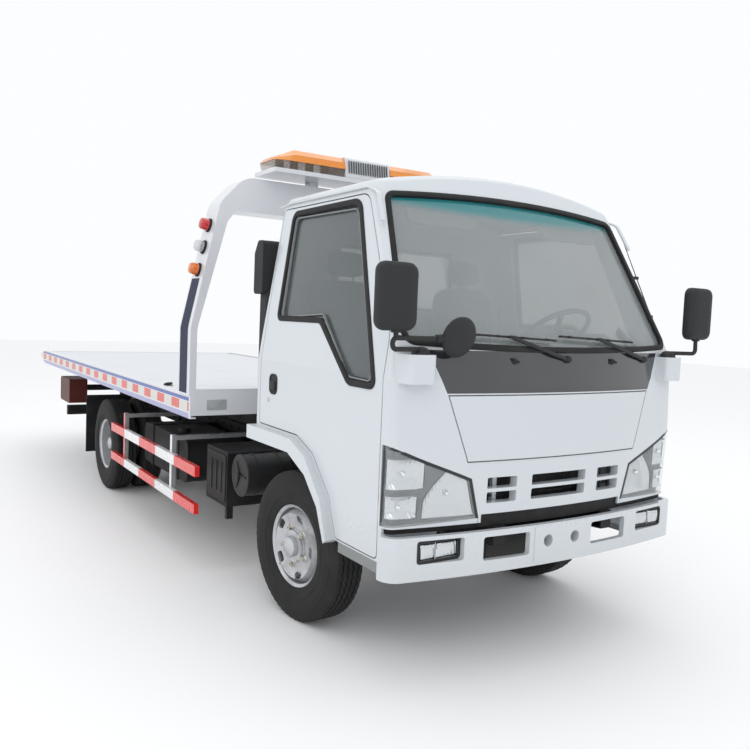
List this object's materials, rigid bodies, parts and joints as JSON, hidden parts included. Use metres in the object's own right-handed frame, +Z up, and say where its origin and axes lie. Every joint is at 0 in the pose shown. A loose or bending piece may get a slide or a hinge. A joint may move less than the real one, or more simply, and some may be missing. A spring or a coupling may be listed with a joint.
{
  "type": "tow truck",
  "caption": "Flatbed tow truck with a tilting cab, a bed that slides back and tilts on cylinders, a lamp gantry with a light bar, and twin rear wheels.",
  "frame": {"origin": "on the ground under the middle of the truck's outline, half way between the bumper's front and the bed's tail", "axes": "+X forward, +Y to the truck's left, +Z up"},
  "size_m": [7.0455, 2.216, 2.6],
  "materials": {
    "white_paint": "gloss",
    "bed_paint": "gloss",
    "glass": "clear",
    "clear_lamp": "clear",
    "dark_gloss": "gloss",
    "black_plastic": "grained",
    "grey_plastic": "grained",
    "black_trim": "satin",
    "seat_cloth": "woven",
    "frame_black": "satin",
    "cast_iron": "rough",
    "radiator_core": "matt",
    "exhaust_steel": "heat stained",
    "guard_paint": "gloss",
    "flap_rubber": "matt",
    "red_lens": "gloss",
    "tyre": "matt",
    "wheel_silver": "satin",
    "rod_chrome": "polished",
    "side_lamp": "gloss",
    "light_bar_body": "gloss",
    "amber_lens": "gloss",
    "wire_rope": "drawn"
  },
  "bodies": {
    "chassis": {"frame": "frame_black", "front_axle": "frame_black", "rear_axle": "frame_black", "leaf_springs": "frame_black", "engine": "cast_iron", "radiator": "radiator_core", "driveshaft": "frame_black", "exhaust": "exhaust_steel", "fuel_tank": "frame_black", "tool_box": "black_plastic", "air_cleaner": "black_plastic", "side_guards": "guard_paint", "mud_flaps": "flap_rubber", "tail_lamps": "red_lens", "under_run_bar": "frame_black", "front_bumper": "white_paint", "fog_lamps": "clear_lamp"},
    "cab": {"cab_shell": "white_paint", "cab_glass": "glass", "grille": "white_paint", "headlamps": "clear_lamp", "front_panel": "dark_gloss", "wheel_arches": "white_paint", "cab_steps": "grey_plastic", "dashboard": "grey_plastic", "seats": "seat_cloth", "steering_wheel": "black_trim", "mirrors": "black_plastic", "wipers": "black_plastic", "intake_duct": "black_plastic"},
    "front_lid": {"front_lid": "white_paint"},
    "door_right": {"door_right": "white_paint", "door_glass_right": "glass"},
    "door_left": {"door_left": "white_paint", "door_glass_left": "glass"},
    "knuckle_right": {"knuckle_right": "frame_black"},
    "knuckle_left": {"knuckle_left": "frame_black"},
    "wheel_front_right": {"tyre_front_right": "tyre", "rim_front_right": "wheel_silver"},
    "wheel_front_left": {"tyre_front_left": "tyre", "rim_front_left": "wheel_silver"},
    "wheel_rear_right": {"tyres_rear_right": "tyre", "rim_rear_right": "wheel_silver"},
    "wheel_rear_left": {"tyres_rear_left": "tyre", "rim_rear_left": "wheel_silver"},
    "subframe": {"subframe": "frame_black"},
    "bed": {"slide_rod": "rod_chrome", "deck_floor": "bed_paint", "deck_rails": "bed_paint", "gantry": "bed_paint", "gantry_lamps": "side_lamp", "light_bar_base": "light_bar_body", "light_bar_lenses": "amber_lens", "winch": "frame_black"},
    "winch_drum": {"winch_drum": "wire_rope"},
    "tilt_barrels": {"tilt_barrels": "frame_black"},
    "tilt_rods": {"tilt_rods": "rod_chrome"}
  },
  "joints": [
    {"name": "steer_right", "type": "hinge", "parent": "chassis", "child": "knuckle_right", "pos_m": [2.485, -0.7, 0.389], "axis": [0, 0, 1], "range_deg": [-41, 29]},
    {"name": "steer_left", "type": "hinge", "parent": "chassis", "child": "knuckle_left", "pos_m": [2.485, 0.7, 0.389], "axis": [0, 0, 1], "range_deg": [-41, 29]},
    {"name": "spin_front_right", "type": "hinge", "parent": "knuckle_right", "child": "wheel_front_right", "pos_m": [2.49545, -0.79945, 0.389], "axis": [-0.1045, 0.9945, 0], "continuous": true},
    {"name": "spin_front_left", "type": "hinge", "parent": "knuckle_left", "child": "wheel_front_left", "pos_m": [2.47455, 0.79945, 0.389], "axis": [-0.1045, 0.9945, 0], "continuous": true},
    {"name": "spin_rear_right", "type": "hinge", "parent": "chassis", "child": "wheel_rear_right", "pos_m": [-0.875, -0.81, 0.389], "axis": [0, 1, 0], "continuous": true},
    {"name": "spin_rear_left", "type": "hinge", "parent": "chassis", "child": "wheel_rear_left", "pos_m": [-0.875, 0.81, 0.389], "axis": [0, 1, 0], "continuous": true},
    {"name": "cab_tilt", "type": "hinge", "parent": "chassis", "child": "cab", "pos_m": [3.415, 0, 0.715], "axis": [0, 1, 0], "range_deg": [0, 45]},
    {"name": "front_lid_open", "type": "hinge", "parent": "cab", "child": "front_lid", "pos_m": [3.463, 0, 1.352], "axis": [0, -1, 0], "range_deg": [0, 60]},
    {"name": "door_right_open", "type": "hinge", "parent": "cab", "child": "door_right", "pos_m": [3.313, -0.907, 1.35], "axis": [0, 0, 1], "range_deg": [0, 70]},
    {"name": "door_left_open", "type": "hinge", "parent": "cab", "child": "door_left", "pos_m": [3.313, 0.907, 1.35], "axis": [0, 0, -1], "range_deg": [0, 70]},
    {"name": "bed_tilt", "type": "hinge", "parent": "chassis", "child": "subframe", "pos_m": [-2.565, 0, 0.826], "axis": [0, -1, 0], "range_deg": [0, 14]},
    {"name": "bed_slide", "type": "slide", "parent": "subframe", "child": "bed", "axis": [-1, 0, 0], "range_m": [0, 3]},
    {"name": "winch_spin", "type": "hinge", "parent": "bed", "child": "winch_drum", "pos_m": [1.085, 0, 1.2], "axis": [0, 1, 0], "continuous": true},
    {"name": "tilt_barrel_swing", "type": "hinge", "parent": "chassis", "child": "tilt_barrels", "pos_m": [-0.415, 0, 0.59], "axis": [0, -1, 0], "range_deg": [0, 33.2]},
    {"name": "tilt_rod_slide", "type": "slide", "parent": "tilt_barrels", "child": "tilt_rods", "axis": [0.985, 0, 0.1724], "range_m": [0, 0.292]}
  ],
  "couplings": [
    {"joint": "steer_left", "follows": "steer_right", "ratio": 1},
    {"joint": "tilt_barrel_swing", "follows": "bed_tilt", "ratio": 2.3408},
    {"joint": "tilt_rod_slide", "follows": "bed_tilt", "m_per_rad": 1.1774}
  ]
}
